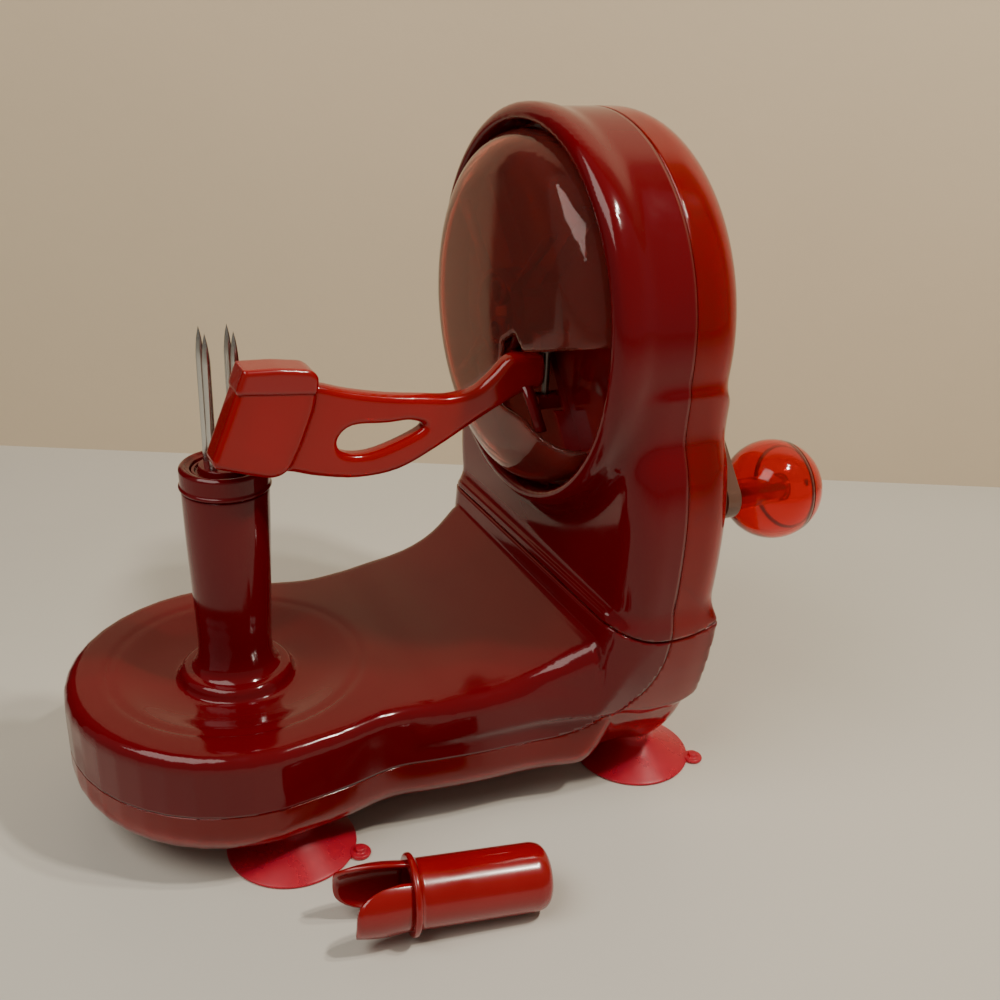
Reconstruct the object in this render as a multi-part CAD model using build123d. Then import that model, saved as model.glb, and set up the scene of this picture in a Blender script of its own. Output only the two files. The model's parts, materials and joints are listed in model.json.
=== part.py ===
from build123d import *
import os
from math import cos, pi, radians, sin

# Crank-driven apple peeler on four suction feet. Millimetres.
# Heights are measured up from the table while modelling; export() lowers every part by POST_TOP,
# so the finished frame has its origin at the middle of the fork, on the top face of the post.
# +X runs from the post towards the tower and the crank, +Z is up, the casing is mirrored about Y = 0.

# ---- driving dimensions -------------------------------------------------------------------------
POST_TOP = 144.0        # top face of the post above the table
DISC_Z = 192.0          # height of the crank and disc axis
WALL = 2.4              # casing wall

LOBE_R = 65.5           # round front of the base
BASE_LOW = 14.0         # underside of the base
BASE_TOP = 59.0
SEAM_Z = 34.0           # parting line of the base
SEAM_X = 150.0          # parting plane of the tower
GROOVE_Z = 86.0         # groove between base and tower, where it meets the front

HEAD_R = 78.0           # round head of the tower
TOWER_FRONT = 117.0
TOWER_BACK = 175.0
FRONT_ROUND = 9.0       # rounding of the tower's front rim
BACK_ROUND = 13.0       # rounding of the tower's back edge
FOOT_ROUND = 12.0       # rounding under the base
EDGE_ROUND = 7.0        # rounding of the base's upper edge
RIM_W = 13.0            # width of the raised rim round the tower's lower front
RECESS_R = 71.0         # round recess that holds the disc
RECESS_X = 132.0        # floor of that recess

DOME_R = 69.0
DOME_FACE_R = 56.0
DOME_FACE = 107.0
DISH_R = 46.0           # shallow dish round the post
DISH_DEPTH = 4.5

POST_R_TOP = 16.6
POST_R_FOOT = 14.2
POST_FOOT = 58.0
COLLAR_H = 9.0

TINE_R = 1.5
TINE_PITCH = 10.0
TINE_TOP = 195.0
SPINDLE_R = 4.5

SHAFT_Z = 38.0          # axis of the shaft through the base
TOWER_SHAFT_X = 157.0   # axis of the upright shaft
SHAFT_R = 3.0
RUN = 0.06              # radial clearance of a running fit

BIG_R = 27.0            # pitch radius of the large spur gears
SMALL_R = 9.0           # pitch radius of the pinions
IDLER_Z = DISC_Z + BIG_R + SMALL_R
TIP_GAP = 0.2           # each tooth tip stops this far inside its pitch circle

CRANK_Y = -62.0         # knob axis
CRANK_Z = 128.0
CRANK_X = 178.0         # inner face of the crank arm
CRANK_T = 6.0
KNOB_X = 205.0
KNOB_R = 20.0

ARM_Y = -20.0           # mid plane of the blade arm
ARM_T = 8.0
ARM_PIVOT_X = 121.5
HEAD_T = 13.0

FEET = [(7.5, 45.5), (7.5, -45.5), (162.0, 45.5), (162.0, -45.5)]
FOOT_NAMES = ["front_left", "front_right", "rear_left", "rear_right"]
CUP_R = 25.0
PAD_R = 8.5             # round pad over each cup, under the base
PAD_DROP = 0.6          # how far the pad stands below the base

CAP_LENGTH = 52.0       # loose cap for the fork
CAP_R = 12.3
CAP_COLLAR_R = 14.5
CAP_MOUTH = (33.0, -103.0)
CAP_TURN = -9.0
CAP_TILT = 2.4

os.makedirs("parts", exist_ok=True)


# ---- small helpers ------------------------------------------------------------------------------
def export(name, shape):
    export_step(Pos(0, 0, -POST_TOP) * shape, f"parts/{name}.step")


def turned(points):
    """Solid turned about Z from (radius, height) points."""
    return revolve(make_face(Polyline(*[(r, 0, h) for r, h in points], close=True)), Axis.Z, 360)


def along_x(shape, y=0.0, z=DISC_Z):
    """Lay a part that was turned about Z along +X, with height becoming X."""
    return Pos(0, y, z) * Rot(0, 90, 0) * shape


def rod(radius, low, high):
    return Pos(0, 0, low) * Cylinder(radius, high - low, align=(Align.CENTER, Align.CENTER, Align.MIN))


def tube(inner, outer, low, high):
    return rod(outer, low, high) - rod(inner, low - 1, high + 1)


def block(x0, x1, y0, y1, z0, z1):
    return Pos(x0, y0, z0) * Box(x1 - x0, y1 - y0, z1 - z0, align=(Align.MIN, Align.MIN, Align.MIN))


def side_plate(points, y0, y1):
    """Plate with an outline in X and Z, from y0 to y1."""
    face = make_face(Polyline(*[(x, y1, z) for x, z in points], close=True))
    return extrude(face, y1 - y0, dir=(0, -1, 0))


def spur(teeth, pitch_r, low, high, bore):
    """Spur gear about Z with straight-sided teeth that stop just inside the pitch circle."""
    tip, root = pitch_r - TIP_GAP, pitch_r - 2.2
    step = 2 * pi / teeth
    points = []
    for i in range(teeth):
        for radius, part in ((root, -0.32), (tip, -0.14), (tip, 0.14), (root, 0.32)):
            angle = (i + part) * step
            points.append((radius * cos(angle), radius * sin(angle), low))
    gear = extrude(make_face(Polyline(*points, close=True)), high - low, dir=(0, 0, 1))
    return gear - rod(bore, low - 1, high + 1)


def bevel(points, teeth, bore, low, high):
    """Bevel gear about Z: a turned cone with radial grooves in its face."""
    gear = turned(points) - rod(bore, low - 20, high + 20)
    widest = max(r for r, h in points)
    for i in range(teeth):
        groove = Pos(widest, 0, high) * Box(0.8 * widest, 0.7, 2.4)
        gear -= Rot(0, 0, 360.0 * i / teeth) * groove
    return gear


# ---- casing -------------------------------------------------------------------------------------
TOWER_SIDE = [(75.6, 161), (80.2, 149), (83.0, 133), (83.0, 117), (81.8, 98), (79.5, 80), (76.0, 60), (69.5, 40),
              (59.0, 23), (46.0, BASE_LOW)]
BASE_SIDE = [(25, 62.0), (45, 57.8), (62, 60.2), (80, 62.4), (105, 64.0), (128, 69.0), (150, 73.0)]
SWEEP_SIDE = [(60, 58.0), (80, 61.0), (105, 65.5), (120, 73.0), (133, 80.0)]


def tower_outline():
    """Round head, slight neck and wider foot, in Y and Z."""
    chin = DISC_Z - 21
    neck = (HEAD_R**2 - 21.0**2) ** 0.5
    side = [(neck, chin)] + TOWER_SIDE
    mirrored = [(-y, z) for y, z in side]
    head = ThreePointArc(mirrored[0], (0, DISC_Z + HEAD_R), side[0])
    floor = Line(side[-1], mirrored[-1])
    return make_face(Wire([head, Spline(*side), floor, Spline(*mirrored)]))


def base_outline():
    """Round lobe, shallow waist and a tail that widens to meet the tower, in X and Y."""
    side = [(0, LOBE_R)] + BASE_SIDE
    mirrored = [(x, -y) for x, y in side]
    lobe = ThreePointArc(mirrored[0], (-LOBE_R, 0), side[0])
    left = Spline(*side, tangents=[(1, 0), (1, 0.15)])
    right = Spline(*mirrored, tangents=[(1, 0), (1, -0.15)])
    return make_face(Wire([lobe, left, Line(side[-1], mirrored[-1]), right]))


def outer_block():
    """The whole casing as one block."""
    tower = Pos(TOWER_FRONT, 0, 0) * extrude(Plane.YZ * tower_outline(), TOWER_BACK - TOWER_FRONT, dir=(1, 0, 0))
    tower = fillet(tower.edges().group_by(Axis.X)[0], FRONT_ROUND)
    tower = fillet(tower.edges().group_by(Axis.X)[-1], BACK_ROUND)
    base = Pos(0, 0, BASE_LOW) * extrude(base_outline(), BASE_TOP - BASE_LOW, dir=(0, 0, 1))
    base = fillet(base.edges().group_by(Axis.Z)[0], FOOT_ROUND)
    base = fillet(base.edges().group_by(Axis.Z)[-1], EDGE_ROUND)

    points = SWEEP_SIDE + [(x, -y) for x, y in reversed(SWEEP_SIDE)]
    plan = Pos(0, 0, 40) * extrude(make_face(Polyline(*points, close=True)), 60, dir=(0, 0, 1))
    arc = ThreePointArc((72, 0, BASE_TOP), (102, 0, BASE_TOP + 7.5), (125, 0, GROOVE_Z))
    rest = Polyline((125, 0, GROOVE_Z), (140, 0, GROOVE_Z), (140, 0, 40), (61, 0, 40), (61, 0, BASE_TOP),
                    (72, 0, BASE_TOP))
    wedge = extrude(make_face(Wire([arc] + list(rest.edges()))), 100, dir=(0, 1, 0), both=True) & plan
    return tower + base + wedge


def tower_room(inset, x0, x1):
    """Straight-sided space inside the tower, its outline drawn in by inset."""
    radius = HEAD_R - inset
    head = [(radius * sin(radians(a)), DISC_Z + radius * cos(radians(a))) for a in range(0, 106, 7)]
    side = head + [(y - inset, z) for y, z in TOWER_SIDE[:-1]] + [(46.0 - inset, BASE_LOW + inset)]
    points = side + [(-y, z) for y, z in reversed(side[1:])]
    return extrude(make_face(Polyline(*[(x0, y, z) for y, z in points], close=True)), x1 - x0, dir=(1, 0, 0))


def base_room(inset, z0, z1):
    """Straight-sided space inside the base, its outline drawn in by inset."""
    radius = LOBE_R - inset
    lobe = [(-radius * cos(radians(a)), radius * sin(radians(a))) for a in range(0, 91, 6)]
    side = lobe + [(x, y - inset) for x, y in BASE_SIDE[:-1]] + [(SEAM_X, BASE_SIDE[-1][1] - inset)]
    points = side + [(x, -y) for x, y in reversed(side[1:])]
    return extrude(make_face(Polyline(*[(x, y, z0) for x, y in points], close=True)), z1 - z0, dir=(0, 0, 1))


def hollow():
    """The space inside the casing. It steps in where the outside is rounded."""
    room = tower_room(WALL, RECESS_X + WALL, TOWER_BACK - BACK_ROUND + 2)
    room += tower_room(WALL + 5, SEAM_X, TOWER_BACK - WALL)
    room += base_room(WALL, BASE_LOW + FOOT_ROUND - 3, BASE_TOP - EDGE_ROUND + 2)
    room += base_room(WALL + 5, BASE_LOW + WALL, BASE_TOP - WALL)
    ramp = [(84, 50), (84, BASE_TOP - WALL - 1), (102, BASE_TOP + 3), (116, 71), (128, 80), (140, 80), (140, 50)]
    return room + side_plate(ramp, -58, 58)


def above_groove(shift):
    """Space above the curved groove that divides tower from base."""
    curve = ThreePointArc((128, 0, GROOVE_Z + shift), (152, 0, GROOVE_Z - 6 + shift), (176, 0, GROOVE_Z + shift))
    rest = Polyline((176, 0, GROOVE_Z + shift), (240, 0, GROOVE_Z + shift), (240, 0, 320), (40, 0, 320),
                    (40, 0, GROOVE_Z + shift), (128, 0, GROOVE_Z + shift))
    return extrude(make_face(Wire([curve] + list(rest.edges()))), 120, dir=(0, 1, 0), both=True)


def ahead_of_seam():
    """Space in front of and above the long seam: level round the base, then up the tower's sides."""
    bend = SEAM_X - 105
    arc = ThreePointArc(
        (105, 0, SEAM_Z),
        (105 + bend * sin(pi / 4), 0, SEAM_Z + bend * (1 - cos(pi / 4))),
        (SEAM_X, 0, SEAM_Z + bend),
    )
    rest = Polyline((SEAM_X, 0, SEAM_Z + bend), (SEAM_X, 0, 320), (-120, 0, 320), (-120, 0, SEAM_Z),
                    (105, 0, SEAM_Z))
    return extrude(make_face(Wire([arc] + list(rest.edges()))), 120, dir=(0, 1, 0), both=True)


def casing():
    shell = outer_block() - (hollow() - rod(DISH_R + 4, BASE_TOP - DISH_DEPTH - WALL, BASE_TOP + 5))

    # shallow dish with a raised boss for the post
    dish = turned([(0, BASE_TOP - DISH_DEPTH), (34, BASE_TOP - DISH_DEPTH + 0.6), (DISH_R, BASE_TOP + 0.1),
                   (DISH_R, BASE_TOP + 9), (0, BASE_TOP + 9)])
    shell -= dish
    shell += turned([(10, BASE_TOP - DISH_DEPTH - WALL), (25, BASE_TOP - DISH_DEPTH - WALL),
                     (25, BASE_TOP - DISH_DEPTH + 0.5), (19, POST_FOOT), (10, POST_FOOT)])
    shell -= rod(10.0, 40, 90)

    # recess for the disc, and the shallow recess of the tower's front below it
    shell -= along_x(rod(RECESS_R, TOWER_FRONT - 20, RECESS_X))
    shell -= tower_room(RIM_W, TOWER_FRONT - 20, RECESS_X) & block(60, 200, -100, 100, GROOVE_Z + 0.4, DISC_Z)
    shell -= along_x(rod(8.0, 120, 140))
    shell -= along_x(rod(8.0, 165, 200))

    ahead = ahead_of_seam()
    tower = shell & above_groove(0.4)
    base = shell - above_groove(-0.4)
    return {
        "tower_front_shell": tower & ahead,
        "tower_back_shell": tower - ahead,
        "base_top_shell": base & ahead,
        "base_bottom_shell": base - ahead,
    }


BASE_BOSSES = [(-46, 0, 53.5), (52, 40, 58), (52, -40, 58), (112, 46, 68.5), (112, -46, 68.5)]
TOWER_BOSSES = [(60, 120), (-60, 120), (48, 236), (-48, 236)]


def fasten(shells):
    """Screw bosses of the shells, with their screws."""
    base_screws, tower_screws = [], []
    for x, y, top in BASE_BOSSES:
        lower = Pos(x, y, 0) * rod(4.5, BASE_LOW + 1, SEAM_Z)
        upper = Pos(x, y, 0) * rod(4.5, SEAM_Z, top)
        shells["base_bottom_shell"] += lower
        shells["base_bottom_shell"] -= Pos(x, y, 0) * (rod(1.8, 0, 60) + rod(3.4, 0, BASE_LOW + 4))
        shells["base_top_shell"] += upper
        shells["base_top_shell"] -= Pos(x, y, 0) * rod(1.5, SEAM_Z - 1, SEAM_Z + 12)
        base_screws.append(Pos(x, y, 0) * screw(BASE_LOW + 1, BASE_LOW + 4, SEAM_Z + 11))
    for y, z in TOWER_BOSSES:
        rear = along_x(rod(4.5, SEAM_X, TOWER_BACK - 1), y, z)
        ahead = along_x(rod(4.5, RECESS_X + 1, SEAM_X), y, z)
        shells["tower_back_shell"] += rear
        shells["tower_back_shell"] -= along_x(rod(1.8, 120, 190) + rod(3.4, TOWER_BACK - 5, 190), y, z)
        shells["tower_front_shell"] += ahead
        shells["tower_front_shell"] -= along_x(rod(1.5, SEAM_X - 12, SEAM_X + 1), y, z)
        turned_round = Pos(0, y, z) * Rot(0, -90, 0) * screw(-TOWER_BACK + 2, -TOWER_BACK + 5, -SEAM_X + 11)
        tower_screws.append(turned_round)
    return {"base_screws": Compound(base_screws), "tower_screws": Compound(tower_screws)}


def screw(low, neck, tip):
    """Pan-head screw pointing up +Z, with a cross recess."""
    body = turned([(0, low), (2.6, low), (3.1, low + 0.8), (3.1, neck), (1.5, neck), (1.5, tip - 2), (0, tip)])
    return body - block(-0.4, 0.4, -2, 2, low - 1, low + 1) - block(-2, 2, -0.4, 0.4, low - 1, low + 1)


# ---- feet ---------------------------------------------------------------------------------------
def suction_cup(x, y):
    seat = BASE_LOW - PAD_DROP
    cup = turned([(21.5, 0), (CUP_R, 0), (CUP_R, 1.2), (17, 5.0), (9, 9.0), (7.5, seat), (4.9, seat),
                  (4.9, BASE_LOW + 5), (0, BASE_LOW + 5), (0, 6.5), (8, 6.0), (15, 3.4)])
    side = 1 if y > 0 else -1
    tab = Rot(0, 0, side * 35) * (block(CUP_R - 2, CUP_R + 4.5, -2.5, 2.5, 0.2, 1.6) + Pos(CUP_R + 2.5, 0, 0)
                                 * rod(2.0, 0.2, 3.4))
    return Pos(x, y, 0) * (cup + tab)


# ---- post and fork ------------------------------------------------------------------------------
def post():
    shoulder = POST_TOP - COLLAR_H
    outside = [(12, POST_FOOT), (18, POST_FOOT), (POST_R_FOOT + 0.6, POST_FOOT + 5), (POST_R_FOOT, POST_FOOT + 12),
               (POST_R_TOP - 0.4, shoulder), (12, shoulder)]
    column = turned(outside)
    return column + tube(5.5, 12.0, POST_FOOT, POST_FOOT + 4) + tube(5.5, 12.0, shoulder - 4, shoulder)


def post_collar():
    low = POST_TOP - COLLAR_H
    return turned([(12.5, low), (POST_R_TOP + 0.5, low), (POST_R_TOP + 0.5, low + 1.2), (POST_R_TOP, low + 1.6),
                   (POST_R_TOP, POST_TOP - 0.8), (POST_R_TOP - 0.8, POST_TOP), (14.2, POST_TOP), (12.5, POST_TOP - 1)])


def fork_parts():
    hub_low = POST_TOP - 7
    hub = turned([(0, hub_low), (12.0, hub_low), (12.0, POST_TOP - 1.6), (10.6, POST_TOP - 1.6),
                  (10.6, POST_TOP - 3), (9.4, POST_TOP - 3), (9.4, POST_TOP), (0, POST_TOP)])
    tines = []
    for sx in (-1, 1):
        for sy in (-1, 1):
            x, y = sx * TINE_PITCH / 2, sy * TINE_PITCH / 2
            tine = rod(TINE_R, hub_low + 1, TINE_TOP - 9)
            tip = Pos(0, 0, TINE_TOP - 9) * Cone(TINE_R, 0.35, 9, align=(Align.CENTER, Align.CENTER, Align.MIN))
            tines.append(Pos(x, y, 0) * (tine + tip))
            hub -= Pos(x, y, 0) * rod(TINE_R, hub_low + 1, POST_TOP + 1)
    spindle = rod(SPINDLE_R, SHAFT_Z + 14, hub_low) + rod(SHAFT_R, SHAFT_Z + 5, SHAFT_Z + 14)
    gear = bevel(mitre(SHAFT_Z), 18, SHAFT_R, SHAFT_Z, SHAFT_Z + 7)
    return {
        "spindle_hub": hub,
        "fork_tines": Compound(tines),
        "fork_spindle": spindle,
        "fork_bevel_gear": gear,
        "spindle_bushes": tube(SPINDLE_R + RUN, 5.5, POST_FOOT, POST_FOOT + 4)
        + tube(SPINDLE_R + RUN, 5.5, POST_TOP - COLLAR_H - 4, POST_TOP - COLLAR_H),
    }


# ---- shafts and gears ---------------------------------------------------------------------------
def mitre(apex):
    """Profile of a one-to-one bevel gear above its apex, drawn a little inside the pitch cone."""
    gap = 0.5
    return [(0, apex + 5 + gap), (5 - gap, apex + 5 + gap), (9 - gap, apex + 9 + gap), (9 - gap, apex + 12),
            (0, apex + 12)]


def drive_train():
    apex_x = TOWER_SHAFT_X
    base_shaft = rod(SHAFT_R, 5.5, apex_x - 5.5)
    front = bevel(mitre(0), 18, SHAFT_R, 0, 7)
    rear = Pos(0, 0, apex_x) * Rot(180, 0, 0) * front
    upright = Pos(apex_x, 0, 0) * rod(SHAFT_R, SHAFT_Z + 5, 168)
    lower = Pos(apex_x, 0, 0) * bevel(mitre(SHAFT_Z), 18, SHAFT_R, SHAFT_Z, SHAFT_Z + 7)
    small = turned([(0, 163), (5.6, 163), (5.6, 168), (4.1, 174), (0, 174)]) - rod(SHAFT_R, 150, 168)
    for i in range(9):
        small -= Rot(0, 0, 40 * i) * Pos(5.6, 0, 171) * Box(1.6, 0.6, 12)
    large = bevel([(0, apex_x + 5.2), (18, apex_x + 5.2), (24, apex_x + 6.6), (24, apex_x + 10), (0, apex_x + 10)],
                  36, 4.0, apex_x, apex_x + 6)
    return {
        "base_shaft": along_x(base_shaft, 0, SHAFT_Z),
        "base_front_bevel": along_x(front, 0, SHAFT_Z),
        "base_rear_bevel": along_x(rear, 0, SHAFT_Z),
        "tower_shaft": upright,
        "tower_lower_bevel": lower,
        "tower_upper_bevel": Pos(apex_x, 0, 0) * small,
        "crank_bevel_gear": along_x(large),
        "crank_pinion": along_x(spur(12, SMALL_R, 144, 149, 4.0)),
        "idler_gear": along_x(spur(36, BIG_R, 144, 149, SHAFT_R + RUN), 0, IDLER_Z),
        "idler_pinion": along_x(spur(12, SMALL_R, 137, 144, SHAFT_R + RUN), 0, IDLER_Z),
        "rotor_gear": along_x(spur(36, BIG_R, 137, 142, 5.0)),
        "idler_axle": along_x(rod(SHAFT_R, RECESS_X + WALL, 152.5), 0, IDLER_Z),
    }


def bearings():
    base = []
    for x in (24, 122):
        stand = block(x, x + 6, -8, 8, BASE_LOW + WALL, SHAFT_Z + 7)
        base.append(stand - along_x(rod(SHAFT_R + RUN, x - 1, x + 7), 0, SHAFT_Z))
    tower = []
    for z in (96, 150):
        arm = block(TOWER_SHAFT_X - 6, TOWER_BACK - WALL, -7, 7, z, z + 6)
        tower.append(arm - Pos(TOWER_SHAFT_X, 0, 0) * rod(SHAFT_R + RUN, z - 1, z + 7))
    plate = block(150.5, 152.5, -43, 43, 184, 236)
    for y in (-38, 38):
        plate += along_x(rod(4, RECESS_X + WALL, 150.5), y, 210)
    plate -= along_x(rod(4 + RUN, 140, 160)) + along_x(rod(SHAFT_R, 140, 160), 0, IDLER_Z)
    return {
        "base_shaft_bearings": Compound(base),
        "tower_shaft_bearings": Compound(tower),
        "gear_plate": plate,
        "rotor_bush": along_x(tube(5 + RUN, 8.0, RECESS_X, RECESS_X + 4)),
        "crank_bush": along_x(tube(4 + RUN, 8.0, 169, 177)),
    }


# ---- disc with its arm --------------------------------------------------------------------------
def dome(inset):
    """Shallow cap turned about Z, closed towards low Z."""
    rim, face = DOME_R - inset, DOME_FACE + inset
    corner = DOME_FACE_R - inset * 0.5
    side = ThreePointArc((rim, 0, 121), (rim - 3.2, 0, face + 5.2), (corner, 0, face + 0.8))
    top = ThreePointArc((corner, 0, face + 0.8), (corner / 2, 0, face - 0.9), (0, 0, face - 1.5))
    back = Polyline((0, 0, face - 1.5), (0, 0, 131.2), (rim, 0, 131.2), (rim, 0, 121))
    return revolve(make_face(Wire([side, top] + list(back.edges()))), Axis.Z, 360)


def notch():
    """Wedge cut out of the disc, where the arm comes through."""
    points = [(-12, -8), (-21.5, -2), (-28, -8), (-80, 8), (-80, -46), (-40, -36), (-28, -33), (-12, -33)]
    face = make_face(Polyline(*[(95, y, DISC_Z + z) for y, z in points], close=True))
    return extrude(face, 31, dir=(1, 0, 0))


def rotor_parts():
    cover = along_x(dome(0) - dome(2.0)) & block(90, 128.5, -90, 90, 90, 290)
    plate = along_x(rod(DOME_R - 2.1, 128.5, 131)) - along_x(rod(5.0, 120, 140))
    ribs = []
    for turn in (40, 140, 220, 320):
        rib = Rot(0, 0, turn) * block(18, DOME_R - 9, -0.9, 0.9, 122, 128.5)
        ribs.append(rib)
    for rib in ribs:
        plate += along_x(rib)
    plate -= notch()
    for low, high in ((DISC_Z - 33, DISC_Z - 28), (DISC_Z - 8, DISC_Z - 3)):
        lug = block(117, 128.5, ARM_Y - 4, ARM_Y + 2.5, low, high)
        plate += lug - Pos(ARM_PIVOT_X, ARM_Y, 0) * rod(1.5, 100, 220)
    hub = along_x(tube(5.0, 8.5, 112, 128.5) + tube(15.0, 17.0, 109.5, 128.5))
    hub += along_x(block(7, 16, -1, 1, 114, 128.5) + block(-16, -7, -1, 1, 114, 128.5))
    hub -= notch()
    axle = along_x(rod(5.0, 112, 142))
    spring = Helix(1.0, 2.2, 3.0)
    wire = sweep(Plane(origin=spring @ 0, z_dir=spring % 0) * Circle(0.4), path=spring, is_frenet=True)
    return {
        "dome_cover": cover - notch(),
        "rotor_plate": plate,
        "rotor_hub": hub,
        "rotor_axle": axle,
        "arm_pivot_pin": Pos(ARM_PIVOT_X, ARM_Y, 0) * rod(1.5, DISC_Z - 33, DISC_Z - 3),
        "arm_spring": Pos(ARM_PIVOT_X, ARM_Y, DISC_Z - 11.1) * wire,
    }


HEAD_OUTLINE = [(2.0, 187.6), (26.5, 185.2), (29.5, 183.0), (27.5, 171.0), (17.5, 147.6), (10.2, 145.8), (-10.0, 153.0)]


def arm_parts():
    y0, y1 = ARM_Y - ARM_T / 2, ARM_Y + ARM_T / 2
    top = [(117, 180), (104.6, 181.6), (94.0, 171.5), (84.0, 168.6), (70.0, 169.6), (55.5, 171.6), (41.0, 174.8)]
    top += [(30.0, 178.5), (20.0, 180.0)]
    low = [(8.0, 152.0), (17.0, 147.4), (29.0, 143.4), (44.0, 140.4), (60.0, 141.6), (75.5, 148.6)]
    low += [(89.8, 156.6), (112.0, 167.0), (117, 168)]
    arm = side_plate(top + low, y0, y1)
    arm -= side_plate([(70.0, 157.8), (61.8, 153.8), (48.5, 150.2), (35.5, 153.4), (41.0, 161.6), (55.5, 160.4)],
                      y0 - 1, y1 + 1)
    head_room = side_plate(HEAD_OUTLINE, ARM_Y - 20, ARM_Y + 20)
    arm -= head_room
    arm += block(114, ARM_PIVOT_X, ARM_Y - 3.5, ARM_Y + 3.5, 168, 180)
    arm += Pos(ARM_PIVOT_X, ARM_Y, 0) * rod(3.5, 168, 180)
    arm -= Pos(ARM_PIVOT_X, ARM_Y, 0) * rod(1.5 + RUN, 150, 200)

    front, rear = ARM_Y - HEAD_T / 2, ARM_Y + HEAD_T / 2
    head = side_plate(HEAD_OUTLINE, front, rear)
    rim_outline = [(2.0, 187.6), (26.5, 185.2), (29.5, 183.0), (28.2, 175.5), (-1.1, 178.6)]
    head -= side_plate(rim_outline, front - 1, rear + 1)
    rim = side_plate(rim_outline, front - 0.8, rear + 0.8)
    # the blade stands on the fork side of the head, along its leaning edge
    lean = 19.0
    seat = Pos(2.0, rear, 164.0) * Rot(0, lean, 0)
    blade = seat * (Box(9.0, 2.4, 25.0) - Box(2.0, 6.0, 17.0))
    head -= seat * Box(9.6, 2.4, 25.6)
    pins = Compound([seat * Pos(0, -1.6, z) * Rot(90, 0, 0) * Cylinder(1.1, 0.8) for z in (-10.4, 10.4)])
    head -= pins
    return {"blade_arm": arm, "blade_head": head, "head_rim": rim, "peeling_blade": blade, "blade_pins": pins}


# ---- crank --------------------------------------------------------------------------------------
def crank_parts():
    reach = Vector(0, CRANK_Y, CRANK_Z - DISC_Z)
    length = reach.length
    bar = Plane.YZ * make_hull((Circle(15) + Pos(length, 0) * Circle(8.5)).edges())
    swing = 180 + 45.9
    arm = Pos(CRANK_X, 0, DISC_Z) * Rot(swing, 0, 0) * extrude(bar, CRANK_T, dir=(1, 0, 0))
    arm += along_x(rod(34.0, CRANK_X, CRANK_X + CRANK_T))
    arm -= along_x(rod(4.0, 170, 200))
    arm -= along_x(rod(3.0, 170, 200), CRANK_Y, CRANK_Z)
    cap = along_x(turned([(0, 184), (36, 184), (37, 188), (35, 192), (28, 195), (14, 197), (0, 197.5)]))
    cap -= along_x(rod(5.0, 180, 188))
    shaft = along_x(rod(4.0, 143.5, 187.5))
    pin = along_x(rod(3.0, CRANK_X, KNOB_X + 6), CRANK_Y, CRANK_Z)
    return {"crank_arm": arm, "crank_hub_cap": cap, "crank_shaft": shaft, "knob_pin": pin}


def ball_run(radius, start, end):
    """Points on a ball's meridian, as (radius, height), between two heights."""
    steps = 14
    heights = [start + (end - start) * i / steps for i in range(steps + 1)]
    return [((radius**2 - h**2) ** 0.5, h) for h in heights]


def knob_parts():
    """Ball in two halves, turned about the pin, with heights from the ball's centre."""
    split, thick, core = 6.5, 2.0, 6.0
    foot = -(KNOB_R**2 - core**2) ** 0.5
    inner_foot = -((KNOB_R - thick) ** 2 - core**2) ** 0.5
    bore = 3.0 + RUN
    shell = ball_run(KNOB_R, foot, split)
    lining = ball_run(KNOB_R - thick, split - thick, inner_foot)
    outline = [(bore, foot)] + shell + [(lining[0][0], split)] + lining + [(core, split), (bore, split)]
    body = turned(outline)
    lid_shell = ball_run(KNOB_R, split + 0.05, KNOB_R - 0.01)
    lid_lining = ball_run(KNOB_R - thick, KNOB_R - thick - 0.01, split + 0.05)
    lid = turned(lid_shell + [(0, KNOB_R), (0, KNOB_R - thick)] + lid_lining)
    return {
        "knob_body": Pos(KNOB_X, CRANK_Y, CRANK_Z) * Rot(0, 90, 0) * body,
        "knob_lid": Pos(KNOB_X, CRANK_Y, CRANK_Z) * Rot(0, 90, 0) * lid,
    }


# ---- loose cap for the fork ---------------------------------------------------------------------
def fork_cap():
    """Tube with a rounded closed end, a collar and two flared petals, lying on its side."""
    high = CAP_LENGTH
    cap = turned([(10.3, 0), (CAP_COLLAR_R, 0), (CAP_COLLAR_R, 2.2), (CAP_R, 3.2), (CAP_R, high - 4),
                  (CAP_R - 1.2, high - 1.2), (CAP_R - 4, high), (0, high), (0, high - 2), (10.3, high - 2)])
    flare = turned([(10.3, 0), (12.3, 0), (14.0, -9), (13.4, -17), (11.4, -17), (12.0, -9)])
    petals = flare & (block(-20, 20, 3.2, 20, -20, 1) + block(-20, 20, -20, -3.2, -20, 1))
    round_off = Pos(0, 0, -8) * Rot(90, 0, 0) * Cylinder(10.5, 60)
    petals = petals & (round_off + block(-20, 20, -20, 20, -8, 1))
    cap += petals
    x, y = CAP_MOUTH
    return Pos(x, y, CAP_COLLAR_R + 0.05) * Rot(0, 0, CAP_TURN) * Rot(0, 90 + CAP_TILT, 0) * Rot(0, 0, 90) * cap


# ---- write the parts ----------------------------------------------------------------------------
shells = casing()
parts = fasten(shells)
parts.update(shells)
for (x, y), name in zip(FEET, FOOT_NAMES):
    parts[f"suction_cup_{name}"] = suction_cup(x, y)
    parts["base_bottom_shell"] += Pos(x, y, 0) * rod(PAD_R, BASE_LOW - PAD_DROP, BASE_LOW + 8)
    parts["base_bottom_shell"] -= Pos(x, y, 0) * rod(4.9, 0, BASE_LOW + 5)
parts["post"] = post()
parts["post_collar"] = post_collar()
parts.update(fork_parts())
parts.update(drive_train())
parts.update(bearings())
parts.update(rotor_parts())
parts.update(arm_parts())
parts.update(crank_parts())
parts.update(knob_parts())
parts["fork_cap"] = fork_cap()
for name, shape in parts.items():
    export(name, shape)
print(len(parts), "parts")
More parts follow.
